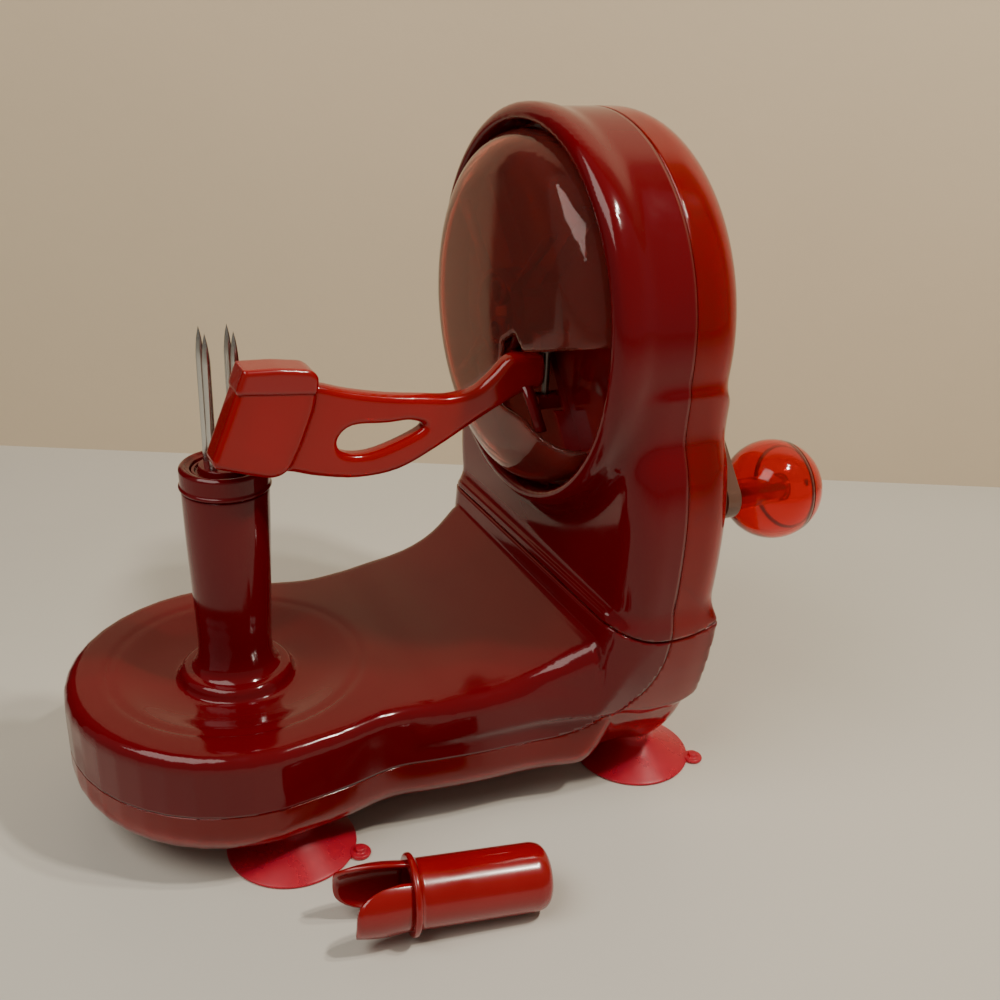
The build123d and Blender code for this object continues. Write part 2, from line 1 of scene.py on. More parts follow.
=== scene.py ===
"""Apple peeler with a crank and suction feet, in a small studio.

Lengths are in millimetres and heights are above the table, with the post at X = 0 and Y = 0.
place() turns them into the row frame, whose origin is on top of the post.
"""

import json
import math

import bpy
import numpy as np
from mathutils import Matrix, Vector


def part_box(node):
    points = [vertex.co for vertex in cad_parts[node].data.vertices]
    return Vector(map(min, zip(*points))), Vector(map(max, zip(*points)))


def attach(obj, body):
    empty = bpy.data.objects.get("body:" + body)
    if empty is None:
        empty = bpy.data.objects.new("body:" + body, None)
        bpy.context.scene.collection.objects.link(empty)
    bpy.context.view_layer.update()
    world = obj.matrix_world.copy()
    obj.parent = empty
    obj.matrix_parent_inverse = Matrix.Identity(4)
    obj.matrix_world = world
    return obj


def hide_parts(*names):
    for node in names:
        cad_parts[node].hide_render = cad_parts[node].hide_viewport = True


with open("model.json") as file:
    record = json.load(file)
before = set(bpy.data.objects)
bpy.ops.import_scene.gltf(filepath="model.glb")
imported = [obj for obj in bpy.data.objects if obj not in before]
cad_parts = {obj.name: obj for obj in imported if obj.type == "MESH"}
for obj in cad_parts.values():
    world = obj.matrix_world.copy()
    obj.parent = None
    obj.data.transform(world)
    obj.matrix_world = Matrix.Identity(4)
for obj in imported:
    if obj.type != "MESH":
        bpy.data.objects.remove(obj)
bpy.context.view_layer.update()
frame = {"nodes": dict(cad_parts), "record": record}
nodes = frame["nodes"]


# ---- dimensions, from the frame and from a few driving values --------------------------------------
MM = 0.001
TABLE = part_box("suction_cup_front_left")[0].z
POST_TOP = -TABLE / MM


def box_mm(node):
    """Lowest and highest corner of a CAD node in this script's millimetres."""
    low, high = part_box(node)
    lift = Vector((0, 0, POST_TOP))
    return low / MM + lift, high / MM + lift


axle_low, axle_high = box_mm("rotor_axle")
DISC_Z = (axle_low.z + axle_high.z) / 2
HEAD_R = box_mm("tower_front_shell")[1].z - DISC_Z
TOWER_FRONT = box_mm("tower_front_shell")[0].x
SEAM_X = box_mm("tower_back_shell")[0].x
TOWER_BACK = box_mm("tower_back_shell")[1].x
LOBE_R = -box_mm("base_bottom_shell")[0].x
BASE_LOW = box_mm("base_bottom_shell")[0].z
SEAM_Z = box_mm("base_top_shell")[0].z
TOP_SHELL_HEIGHT = 25.0
BASE_TOP = SEAM_Z + TOP_SHELL_HEIGHT
SEAM_BEND = SEAM_X - 105.0
GROOVE_Z = BASE_TOP + 27.0
TOWER_HALF_WIDTH = 84.0
DISH_R = 46.0
DISH_DEPTH = 6.0
WALL = 2.2
CASING_STEP = 1.5
GROOVE_GAP = 1.3
SEAM_GAP = 0.6
DOME_R = box_mm("dome_cover")[1].y
DOME_FACE = 107.0
DOME_REAR = 128.2
DOME_WALL = 2.0
DOME_STEP = 1.2
POST_R = box_mm("post_collar")[1].y - 0.5
COLLAR_LOW = box_mm("post_collar")[0].z
ARM_Y = (box_mm("blade_arm")[0].y + box_mm("blade_arm")[1].y) / 2
ARM_HALF = 3.9
knob_low, knob_high = box_mm("knob_body")
KNOB_R = (knob_high.y - knob_low.y) / 2
KNOB = (knob_low + knob_high) / 2
KNOB.x = box_mm("knob_lid")[1].x - KNOB_R
KNOB_WALL = 1.8
KNOB_GAP = 0.35
CUP_R = 25.0
CUP_Y = 45.5
TINE_R = 1.5


def place(points):
    """Row-frame metres of points in millimetres above the table."""
    return (np.asarray(points, float) - (0, 0, POST_TOP)) * MM


# ---- mesh helpers ----------------------------------------------------------------------------------
def add_mesh(name, points, faces, body, finish, stands_for=()):
    """A smooth-shaded piece from points in millimetres, riding on a body."""
    mesh = bpy.data.meshes.new(name)
    faces = [tuple(int(i) for i in face) for face in faces]
    mesh.from_pydata([tuple(p) for p in place(points)], [], faces)
    mesh.polygons.foreach_set("use_smooth", [True] * len(mesh.polygons))
    mesh.materials.append(finish)
    mesh.update()
    piece = bpy.data.objects.new(name, mesh)
    bpy.context.scene.collection.objects.link(piece)
    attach(piece, body)
    if stands_for:
        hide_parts(*stands_for)
    return piece


def rounded_run(points, steps=6, closed=False):
    """Catmull-Rom curve through a run of points."""
    p = np.asarray(points, float)
    if closed:
        before, after, far = np.roll(p, 1, 0), np.roll(p, -1, 0), np.roll(p, -2, 0)
    else:
        padded = np.vstack([2 * p[0] - p[1], p, 2 * p[-1] - p[-2]])
        before, p, after, far = padded[:-3], padded[1:-2], padded[2:-1], padded[3:]
    out = []
    for a, b, c, d in zip(before, p, after, far):
        for t in np.arange(steps) / steps:
            square = (2 * a - 5 * b + 4 * c - d) * t**2
            cube = (3 * b - a - 3 * c + d) * t**3
            out.append(0.5 * (2 * b + (c - a) * t + square + cube))
    if not closed:
        out.append(after[-1])
    return np.array(out)


def soften(profile, radius, steps=3):
    """A polyline with each inner corner replaced by a short arc-like bend."""
    p = np.asarray(profile, float)
    out = [p[0]]
    for a, b, c in zip(p[:-2], p[1:-1], p[2:]):
        to_a, to_c = a - b, c - b
        reach = min(radius, 0.45 * np.linalg.norm(to_a), 0.45 * np.linalg.norm(to_c))
        start = b + to_a / np.linalg.norm(to_a) * reach
        end = b + to_c / np.linalg.norm(to_c) * reach
        for t in np.arange(steps + 1) / steps:
            out.append((1 - t) ** 2 * start + 2 * t * (1 - t) * b + t**2 * end)
    out.append(p[-1])
    return np.array(out)


def turned(profile, origin, axis="Z", segments=128):
    """Surface turned from (radius, height) points about an axis through origin."""
    angles = np.arange(segments) * 2 * math.pi / segments
    r, h = np.asarray(profile, float).T
    flat_u = r[:, None] * np.cos(angles)
    flat_v = r[:, None] * np.sin(angles)
    height = np.repeat(h[:, None], segments, 1)
    order = {"Z": (flat_u, flat_v, height), "X": (height, flat_u, flat_v)}[axis]
    points = np.stack([c.ravel() for c in order], 1) + np.asarray(origin, float)
    faces = []
    for i in range(len(r) - 1):
        for j in range(segments):
            k = (j + 1) % segments
            low, high = i * segments, (i + 1) * segments
            faces.append((low + j, low + k, high + k, high + j))
    return points, faces


def joined(*pieces):
    """Several (points, faces) pairs as one."""
    points, faces, start = [], [], 0
    for p, f in pieces:
        points.append(np.asarray(p, float))
        faces += [tuple(i + start for i in face) for face in f]
        start += len(p)
    return np.vstack(points), faces


# ---- distance fields -------------------------------------------------------------------------------
def outline_distance(outline, u, v):
    """Signed distance from grid points to a closed outline, negative inside."""
    nearest = np.full(u.shape, 1e9)
    inside = np.zeros(u.shape, bool)
    for (u0, v0), (u1, v1) in zip(outline, np.roll(outline, -1, 0)):
        du, dv = u1 - u0, v1 - v0
        t = np.clip(((u - u0) * du + (v - v0) * dv) / (du * du + dv * dv + 1e-12), 0, 1)
        nearest = np.minimum(nearest, (u - u0 - t * du) ** 2 + (v - v0 - t * dv) ** 2)
        crosses = (v0 > v) != (v1 > v)
        inside ^= crosses & (u < du * (v - v0) / (dv if dv else 1e-12) + u0)
    return np.where(inside, -1, 1) * np.sqrt(nearest)


def slab(plan, height, low, high, round_low, round_high):
    """Distance of an upright slab from its plan distance, with rounded edges."""
    lower = height < (low + high) / 2
    r = np.where(lower, round_low, round_high)
    w = np.where(lower, low - height, height - high) + r
    u = plan + r
    return np.minimum(np.maximum(u, w), 0) + np.hypot(np.maximum(u, 0), np.maximum(w, 0)) - r


def blend_min(a, b, k):
    h = np.maximum(k - np.abs(a - b), 0) / k
    return np.minimum(a, b) - h * h * k / 4


def blend_max(a, b, k):
    return -blend_min(-a, -b, k)


def grid(low, high, step):
    """Open coordinate grids that cover a box."""
    axes = [np.arange(a - 2 * step, b + 3 * step, step) for a, b in zip(low, high)]
    return axes, np.meshgrid(*axes, indexing="ij", sparse=True)


def surface(field, axes, tidy=3):
    """Points and triangles of a distance field's zero level, by surface nets."""
    f = np.ascontiguousarray(field, np.float32)
    step = axes[0][1] - axes[0][0]
    origin = np.array([a[0] for a in axes])
    inside = f < 0
    corners = [(i, j, k) for i in (0, 1) for j in (0, 1) for k in (0, 1)]
    n = [s - 1 for s in f.shape]

    def window(a, i, j, k):
        return a[i:i + n[0], j:j + n[1], k:k + n[2]]

    count = sum(window(inside, *c).astype(np.int8) for c in corners)
    active = np.argwhere((count > 0) & (count < 8))
    number = np.full(n, -1, np.int64)
    number[tuple(active.T)] = np.arange(len(active))
    value = {c: f[tuple((active + c).T)] for c in corners}
    total, hits = np.zeros((len(active), 3)), np.zeros(len(active))
    for a in corners:
        for axis in range(3):
            if a[axis]:
                continue
            b = tuple(1 if m == axis else v for m, v in enumerate(a))
            crossing = (value[a] < 0) != (value[b] < 0)
            share = value[a][crossing] / (value[a][crossing] - value[b][crossing])
            point = np.tile(np.array(a, float), (crossing.sum(), 1))
            point[:, axis] = share
            total[crossing] += point
            hits[crossing] += 1
    points = origin + (active + total / hits[:, None]) * step

    quads = []
    for axis in range(3):
        one = np.zeros(3, int)
        one[axis] = 1
        side_a, side_b = [np.eye(3, dtype=int)[m] for m in ((axis + 1) % 3, (axis + 2) % 3)]
        near = inside[tuple(slice(0, s - o) for s, o in zip(f.shape, one))]
        far = inside[tuple(slice(o, s) for s, o in zip(f.shape, one))]
        edges = np.argwhere(near != far)
        edges = edges[(edges[:, (axis + 1) % 3] > 0) & (edges[:, (axis + 2) % 3] > 0)]
        ring = [number[tuple((edges - s).T)] for s in (0 * one, side_a, side_a + side_b, side_b)]
        ring = np.stack(ring, 1)
        leaving = near[tuple(edges.T)]
        quads.append(np.where(leaving[:, None], ring, ring[:, ::-1]))
    quads = np.vstack(quads)

    # draw each point onto the zero level along the field's slope
    for _ in range(tidy):
        v, slope = sample(f, origin, step, points)
        points = points - slope * np.clip(v / np.maximum((slope**2).sum(1), 0.25), -step, step)[:, None]
    triangles = np.vstack([quads[:, [0, 1, 2]], quads[:, [0, 2, 3]]])
    return points, triangles


def sample(f, origin, step, points):
    """Trilinear value and slope of a field at points."""
    q = (points - origin) / step
    cell = np.clip(np.floor(q).astype(int), 0, np.array(f.shape) - 2)
    t = q - cell
    c = {}
    for i in (0, 1):
        for j in (0, 1):
            for k in (0, 1):
                c[i, j, k] = f[cell[:, 0] + i, cell[:, 1] + j, cell[:, 2] + k]
    tx, ty, tz = t.T
    near = [c[0, j, k] * (1 - tx) + c[1, j, k] * tx for j in (0, 1) for k in (0, 1)]
    value = (near[0] * (1 - ty) + near[2] * ty) * (1 - tz) + (near[1] * (1 - ty) + near[3] * ty) * tz
    wx, wy, wz = (1 - tx, tx), (1 - ty, ty), (1 - tz, tz)
    pairs = [(m, n) for m in (0, 1) for n in (0, 1)]
    gx = sum((c[1, j, k] - c[0, j, k]) * wy[j] * wz[k] for j, k in pairs)
    gy = sum((c[i, 1, k] - c[i, 0, k]) * wx[i] * wz[k] for i, k in pairs)
    gz = sum((c[i, j, 1] - c[i, j, 0]) * wx[i] * wy[j] for i, j in pairs)
    return value, np.stack([gx, gy, gz], 1) / step


def clip(points, triangles, field):
    """The part of a mesh where field, a value for each point, is above zero."""
    above = field > 0
    score = above[triangles].sum(1)
    kept = [triangles[score == 3]]
    cut = triangles[(score == 1) | (score == 2)]
    lone = np.where(score[(score == 1) | (score == 2)] == 1, True, False)
    odd = above[cut] == lone[:, None]
    first = odd.argmax(1)
    turned_corners = [cut[np.arange(len(cut)), (first + s) % 3] for s in range(3)]
    a, b, c = turned_corners
    pairs = np.sort(np.vstack([np.stack([a, b], 1), np.stack([a, c], 1)]), 1)
    unique, back = np.unique(pairs, axis=0, return_inverse=True)
    back = back.ravel()
    f0, f1 = field[unique[:, 0]], field[unique[:, 1]]
    share = (f0 / (f0 - f1))[:, None]
    extra = points[unique[:, 0]] * (1 - share) + points[unique[:, 1]] * share
    ab, ac = back[:len(cut)] + len(points), back[len(cut):] + len(points)
    kept.append(np.stack([a, ab, ac], 1)[lone])
    kept.append(np.stack([ab, b, c], 1)[~lone])
    kept.append(np.stack([ab, c, ac], 1)[~lone])
    everything, faces = np.vstack([points, extra]), np.vstack(kept)
    used, faces = np.unique(faces, return_inverse=True)
    return everything[used], faces.reshape(-1, 3)


def solid_plate(outline, low, high, edge, step, holes=(), extra=None):
    """Plate in X and Z between two Y values, with rounded edges, as (points, triangles)."""
    outline = np.asarray(outline, float)
    (x0, z0), (x1, z1) = outline.min(0), outline.max(0)
    axes, (x, y, z) = grid((x0, low, z0), (x1, high, z1), step)
    flat_x, flat_z = x[:, 0, :] + 0 * z[:, 0, :], z[:, 0, :] + 0 * x[:, 0, :]
    plan = outline_distance(outline, flat_x, flat_z)
    for hole in holes:
        plan = np.maximum(plan, -outline_distance(np.asarray(hole, float), flat_x, flat_z))
    field = slab(plan[:, None, :] + 0 * y, y + 0 * plan[:, None, :], low, high, edge, edge)
    if extra:
        field = extra(field, x, y, z)
    return surface(field, axes)


# ---- materials -------------------------------------------------------------------------------------
def shader(name, color, roughness, **inputs):
    """A Principled material with its node tree ready for detail."""
    material = bpy.data.materials.new(name)
    material.use_nodes = True
    tree = material.node_tree
    bsdf = tree.nodes["Principled BSDF"]
    bsdf.inputs["Base Color"].default_value = (*color, 1)
    bsdf.inputs["Roughness"].default_value = roughness
    for key, value in inputs.items():
        bsdf.inputs[key.replace("_", " ")].default_value = value
    return material, tree, bsdf


def noise(tree, scale, detail=4.0, stretch=(1, 1, 1)):
    """Noise in object coordinates, scale in features per metre."""
    where = tree.nodes.new("ShaderNodeTexCoord")
    mapping = tree.nodes.new("ShaderNodeMapping")
    mapping.inputs["Scale"].default_value = stretch
    texture = tree.nodes.new("ShaderNodeTexNoise")
    texture.inputs["Scale"].default_value = scale
    texture.inputs["Detail"].default_value = detail
    tree.links.new(where.outputs["Object"], mapping.inputs["Vector"])
    tree.links.new(mapping.outputs["Vector"], texture.inputs["Vector"])
    return texture.outputs["Fac"]


def ranged(tree, value, low, high, start=0.3, end=0.7):
    """Maps a 0 to 1 value onto a range."""
    node = tree.nodes.new("ShaderNodeMapRange")
    node.inputs["From Min"].default_value = start
    node.inputs["From Max"].default_value = end
    node.inputs["To Min"].default_value = low
    node.inputs["To Max"].default_value = high
    tree.links.new(value, node.inputs["Value"])
    return node.outputs["Result"]


def bumped(tree, bsdf, value, depth):
    """Raises the surface by value times depth in metres."""
    bump = tree.nodes.new("ShaderNodeBump")
    bump.inputs["Strength"].default_value = 1.0
    bump.inputs["Distance"].default_value = depth
    tree.links.new(value, bump.inputs["Height"])
    tree.links.new(bump.outputs["Normal"], bsdf.inputs["Normal"])
    return bump


def tinted(tree, bsdf, value, low, high):
    """Base colour that runs between two colours."""
    mix = tree.nodes.new("ShaderNodeMix")
    mix.data_type = "RGBA"
    mix.inputs["A"].default_value = (*low, 1)
    mix.inputs["B"].default_value = (*high, 1)
    tree.links.new(ranged(tree, value, 0, 1), mix.inputs["Factor"])
    tree.links.new(mix.outputs["Result"], bsdf.inputs["Base Color"])


def moulded(name, low, high, roughness, ripple=0.000012, **inputs):
    """Injection-moulded plastic: flow marks in colour, wear in the gloss and a slight ripple."""
    material, tree, bsdf = shader(name, low, roughness, **inputs)
    tinted(tree, bsdf, noise(tree, 18, 3, (1, 1, 0.5)), low, high)
    smear = ranged(tree, noise(tree, 90, 6), roughness * 0.75, roughness * 1.35)
    tree.links.new(smear, bsdf.inputs["Roughness"])
    bumped(tree, bsdf, noise(tree, 35, 2), ripple)
    return material


def metal(name, color, roughness, stretch):
    """Steel with fine drawn or turned lines."""
    material, tree, bsdf = shader(name, color, roughness, Metallic=1.0)
    lines = noise(tree, 900, 3, stretch)
    tree.links.new(ranged(tree, lines, roughness * 0.7, roughness * 1.5), bsdf.inputs["Roughness"])
    bumped(tree, bsdf, lines, 0.000004)
    return material


red = moulded("crimson_gloss", (0.115, 0.001, 0.0038), (0.135, 0.0013, 0.005), 0.1, IOR=1.36,
              Coat_Weight=0.12, Coat_Roughness=0.04)
clear_red = moulded("clear_red", (0.42, 0.003, 0.0015), (0.48, 0.004, 0.002), 0.12,
                    Transmission_Weight=0.7, IOR=1.4, Coat_Weight=0.12, Coat_Roughness=0.05)
arm_red = moulded("arm_red", (0.36, 0.001, 0.002), (0.42, 0.0015, 0.003), 0.12,
                  Transmission_Weight=0.35, IOR=1.42, Coat_Weight=0.2, Coat_Roughness=0.05)
knob_red = moulded("knob_red", (0.86, 0.05, 0.03), (0.9, 0.06, 0.04), 0.06,
                   Transmission_Weight=0.92, IOR=1.3, Coat_Weight=0.3, Coat_Roughness=0.03)
cap_red = moulded("cap_red", (0.24, 0.001, 0.003), (0.28, 0.0014, 0.004), 0.2,
                  Coat_Weight=0.3, Coat_Roughness=0.1)
smoky = moulded("smoky_cover", (0.66, 0.16, 0.13), (0.72, 0.19, 0.15), 0.06,
                Transmission_Weight=0.93, IOR=1.3, Coat_Weight=0.1, Coat_Roughness=0.05)
smoky_grey = moulded("smoky_crank", (0.26, 0.13, 0.09), (0.30, 0.16, 0.11), 0.16,
                     Transmission_Weight=0.5, IOR=1.45)
soft_pink = moulded("soft_cup", (0.78, 0.022, 0.06), (0.84, 0.03, 0.075), 0.3, ripple=0.00002,
                    Transmission_Weight=0.6, IOR=1.4)
inner_red = moulded("inner_plastic", (0.30, 0.008, 0.010), (0.36, 0.012, 0.014), 0.3)
gear_white = moulded("gear_plastic", (0.42, 0.40, 0.36), (0.48, 0.46, 0.41), 0.38)
steel = metal("turned_steel", (0.62, 0.61, 0.59), 0.2, (1, 1, 40))
dark_steel = metal("dark_steel", (0.16, 0.13, 0.12), 0.3, (1, 1, 40))
bush_metal = metal("sintered_bush", (0.34, 0.29, 0.2), 0.42, (1, 1, 1))

SLOT_FINISH = {
    "opaque_red": red, "translucent_red": clear_red, "smoky_cover": smoky, "soft_cup": soft_pink,
    "arm_red": arm_red, "inner_plastic": inner_red, "gear_plastic": gear_white, "steel": steel,
    "bush": bush_metal, "smoky_crank": smoky_grey,
}
DARKENED = ("arm_spring", "arm_pivot_pin")
for part in frame["record"]["subparts"]:
    node = nodes[part["node"]]
    finish = dark_steel if part["node"] in DARKENED else SLOT_FINISH[part["material_slot"]]
    node.data.materials.clear()
    node.data.materials.append(finish)


# ---- casing ----------------------------------------------------------------------------------------
def casing_field(x, y, z):
    """Signed distance of the casing's outside."""
    yz_y, yz_z = y[0] + 0 * z[0], z[0] + 0 * y[0]
    xy_x, xy_y = x[:, :, 0] + 0 * y[:, :, 0], y[:, :, 0] + 0 * x[:, :, 0]

    # round head: a rolled rim in front, a barrel that narrows a little, a rounded back
    off_axis = np.hypot(yz_y, yz_z - DISC_Z)[None]
    past_rim = np.clip((x - TOWER_FRONT - 8) / 10, 0, 1)
    narrowing = 1.8 * past_rim**2 * (3 - 2 * past_rim)
    head = slab(off_axis - HEAD_R + narrowing, x + 0 * off_axis, TOWER_FRONT, TOWER_BACK, 5.5, 17.0)

    # lower tower: neck, wide shoulders over the groove, narrow foot
    side = [(74.0, 176), (75.0, 167), (76.3, 159), (80.2, 149), (82.8, 135), (83.3, 119),
            (82.2, 100), (79.6, 80), (76.0, 60), (69.5, 40), (60.5, 24), (50.0, BASE_LOW),
            (30.0, BASE_LOW)]
    run = rounded_run(side, 4)
    outline = np.vstack([[(0, 178)], run, run[::-1] * (-1, 1)])
    body_plan = outline_distance(outline, yz_y, yz_z)[None]
    lean = 129.0 + 0.0022 * (z - 108.0) ** 2 * (z < 108.0)
    body = slab(body_plan + 0 * x, x + 0 * body_plan, lean, TOWER_BACK, 13.0, 16.0)
    tower = blend_min(head, body, 9.0)

    # base: a round lobe that narrows at the waist and widens to the tower
    lobe = [(LOBE_R * math.sin(a), LOBE_R * math.cos(a)) for a in np.radians(np.arange(-180, 1, 9))]
    waist = [(25, 62.2), (45, 58.2), (62, 60.2), (80, 62.4), (105, 64.0), (128, 68.5),
             (150, 73.5), (168, 74.0)]
    near = rounded_run(lobe[-1:] + waist, 5)
    plan_outline = np.vstack([lobe[:-1], near, near[::-1] * (1, -1)])
    plan = outline_distance(plan_outline, xy_x, xy_y)[:, :, None]
    flat = slab(plan, z + 0 * plan, BASE_LOW, BASE_TOP, 13.0, 5.5)
    flat = blend_max(flat, body_plan - 60.0 * np.clip((136.0 - x) / 70.0, 0, 1), 6.0)

    # concave sweep from the base up to the groove
    rise = np.array([(58, BASE_TOP - 6), (70, BASE_TOP - 0.6), (84, BASE_TOP + 1.6),
                     (98, BASE_TOP + 5.2), (110, BASE_TOP + 9.8), (119, BASE_TOP + 15.0),
                     (124.4, BASE_TOP + 19.0), (127.2, BASE_TOP + 24.0), (128.2, GROOVE_Z + 3),
                     (176, GROOVE_Z + 3)])
    top = np.interp(x, *rounded_run(rise, 4).T)
    slope = np.gradient(top.ravel(), x.ravel())[:, None, None]
    side_run = rounded_run([(56, 57.0), (80, 62.0), (105, 65.0), (122, 71.5), (134, 78.5),
                            (150, 81.0), (172, 81.0)], 4)
    ramp_outline = np.vstack([side_run, side_run[::-1] * (1, -1)])
    ramp_plan = outline_distance(ramp_outline, xy_x, xy_y)[:, :, None]
    above = (z - top) / np.sqrt(1 + slope**2) + 0 * ramp_plan
    edge = 6.5
    u, w = ramp_plan + edge, above + edge
    ramp = np.minimum(np.maximum(u, w), 0) + np.hypot(np.maximum(u, 0), np.maximum(w, 0)) - edge
    ramp_low = 45
    ramp = np.maximum(ramp, ramp_low - z)
    ramp = np.maximum(ramp, body_plan - 1.0 * (x > 0))

    field = blend_min(blend_min(flat, ramp, 5.0), tower, 7.0)

    # shallow dish with a boss for the post
    from_post = np.hypot(xy_x, xy_y)[:, :, None]
    floor = BASE_TOP - DISH_DEPTH * (1 - np.clip(from_post / DISH_R, 0, 1) ** 4)
    dish = np.maximum(floor - z, from_post - DISH_R - 3)
    field = blend_max(field, -dish * 0.97, 3.0)
    boss_top = BASE_TOP - 0.4
    boss = slab(from_post - 22.0, z + 0 * from_post, BASE_LOW + 20, boss_top, 1.0, 3.0)
    field = blend_min(field, boss, 3.0)

    # recess for the disc, with a channel round it
    bowl = np.maximum(off_axis - (HEAD_R - 6.6), x - 131.0)
    bowl = np.maximum(bowl, (DISC_Z - 200) - z)
    return blend_max(field, -bowl, 2.5)


def seam_field(points):
    """Above zero ahead of the long seam: level round the base, then up the tower's sides."""
    x, z = points[:, 0], points[:, 2]
    corner_x, corner_z = SEAM_X - SEAM_BEND, SEAM_Z + SEAM_BEND
    bend = SEAM_BEND - np.hypot(x - corner_x, z - corner_z)
    straight = np.minimum(z - SEAM_Z, SEAM_X - x)
    return np.where((x > corner_x) & (z < corner_z), bend, straight)


def groove_field(points):
    """Above zero over the curved groove between tower and base."""
    across = np.clip((points[:, 0] - 152.0) / 24.0, -1.05, 1.05)
    return points[:, 2] - (GROOVE_Z - 6.0 + 6.0 * across**2)


def build_casing():
    low = (-LOBE_R, -TOWER_HALF_WIDTH, BASE_LOW)
    high = (TOWER_BACK, TOWER_HALF_WIDTH, DISC_Z + HEAD_R)
    axes, (x, y, z) = grid(low, high, CASING_STEP)
    points, triangles = surface(casing_field(x, y, z), axes)
    shells = [
        ("base_top", 1, -1, "base_top_shell", red, "opaque_red"),
        ("base_bottom", -1, -1, "base_bottom_shell", clear_red, "translucent_red"),
        ("tower_front", 1, 1, "tower_front_shell", red, "opaque_red"),
        ("tower_back", -1, 1, "tower_back_shell", clear_red, "translucent_red"),
    ]
    for name, ahead, over, node, finish, material_slot in shells:
        p, t = clip(points, triangles, groove_field(points) * over - GROOVE_GAP / 2)
        p, t = clip(p, t, seam_field(p) * ahead - SEAM_GAP / 2)
        piece = add_mesh(name, p, t, "casing", finish, [node])
        wall = piece.modifiers.new("wall", "SOLIDIFY")
        wall.thickness = WALL * MM
        wall.offset = -1
        wall.use_even_offset = False


build_casing()


# ---- disc ------------------------------------------------------------------------------------------
NOTCH = [(-12, -8), (-21.5, -2), (-28, -8), (-80, 8), (-80, -46), (-40, -36), (-28, -33),
         (-12, -33)]


def dome_field(inset, x, y, z):
    """Signed distance of the cover's outside, drawn in by inset."""
    off = np.hypot(y, z - DISC_Z)
    face = DOME_FACE + inset
    crown = 1.4 * (1 - np.clip(off / 57.0, 0, 1) ** 2)
    outer = DOME_R - inset
    side = soften([(0, 0), (56.0 - inset * 0.4, 0.6), (65.0 - inset * 0.8, 5.0), (outer, 14.0),
                   (outer, 30.0)], 9.0)
    depth = np.interp(off, side[:, 0], side[:, 1])
    limit = np.where(off < outer, depth, 30.0)
    lean = np.where(off > 56, 0.78, 1.0)
    front = (face + limit - crown - x) * lean
    return np.maximum(front, off - outer)


def build_dome():
    low = (DOME_FACE - 2, -DOME_R, DISC_Z - DOME_R)
    high = (DOME_REAR + 0.3, DOME_R, DISC_Z + DOME_R)
    axes, (x, y, z) = grid(low, high, DOME_STEP)
    field = blend_max(dome_field(0.0, x, y, z), -dome_field(DOME_WALL, x, y, z), 0.4)
    field = np.maximum(field, x - DOME_REAR)
    flat_y, flat_z = y[0] + 0 * z[0], z[0] + 0 * y[0]
    cut = outline_distance(np.array([(a, b + DISC_Z) for a, b in NOTCH]), flat_y, flat_z)[None]
    field = blend_max(field, -(cut + 0 * x), 1.0)
    points, triangles = surface(field, axes)
    add_mesh("dome", points, triangles, "rotor", smoky, ["dome_cover"])


def build_ribs():
    """Hub ring, two small rings and four ribs behind the disc's cover."""
    front, back = DOME_FACE + 2.6, DOME_FACE + 7.0
    half_ring, half_rib = 0.8, 0.7
    rib_start, rib_end = 16.8, 52.0
    box_faces = [(0, 1, 3, 2), (4, 6, 7, 5), (0, 4, 5, 1), (2, 3, 7, 6), (0, 2, 6, 4), (1, 5, 7, 3)]
    pieces = []
    for r, high in ((16.0, 0.0), (5.0, 8.5), (4.6, -7.0)):
        near, far = r - half_ring, r + half_ring
        ring = [(near, front), (far, front), (far, back), (near, back), (near, front)]
        pieces.append(turned(ring, (0, 0, DISC_Z + high), "X", 64))
    for quarter in range(4):
        a = math.radians(45 + 90 * quarter)
        out = np.array([0, math.cos(a), math.sin(a)])
        side = np.array([0, -math.sin(a), math.cos(a)])
        points = [(x, 0, DISC_Z) + out * reach + side * half
                  for x in (front, back) for reach in (rib_start, rib_end)
                  for half in (-half_rib, half_rib)]
        pieces.append((points, box_faces))
    points, faces = joined(*pieces)
    add_mesh("cover_ribs", points, faces, "rotor", red, ())


build_dome()
build_ribs()


# ---- arm and blade head ----------------------------------------------------------------------------
ARM_OUT = [(119, 180), (112, 181.2), (104.6, 181.2), (97, 174.5), (90, 169.8), (80, 168.4),
           (70, 169.6), (55.5, 171.6), (41, 174.8), (30, 178.2), (18, 180), (6, 172), (7, 158),
           (13, 148.6), (20, 146.3), (29, 143.4), (44, 140.6), (60, 141.8), (75.5, 148.6),
           (89.8, 156.4), (103, 163), (112, 167), (119, 168.4)]
ARM_HOLE = [(70, 157.8), (61.8, 153.6), (48.5, 150.0), (38.5, 151.4), (36.5, 156.5), (42, 161.2),
            (55.5, 160.6), (64.5, 160.6)]
HEAD_OUT = [(3.5, 186.9), (15, 186.6), (26.0, 185.0), (29.0, 182.0), (27.5, 171.0), (22.5, 158),
            (18.0, 149.0), (14.5, 146.6), (10.2, 146.3), (-8.6, 152.6), (-9.3, 155.0), (-4, 168)]
RIM_OUT = [(3.0, 187.2), (15, 186.8), (26.3, 185.2), (29.2, 182.6), (28.7, 177.0), (27.8, 175.8),
           (14, 177.0), (-0.4, 178.4)]


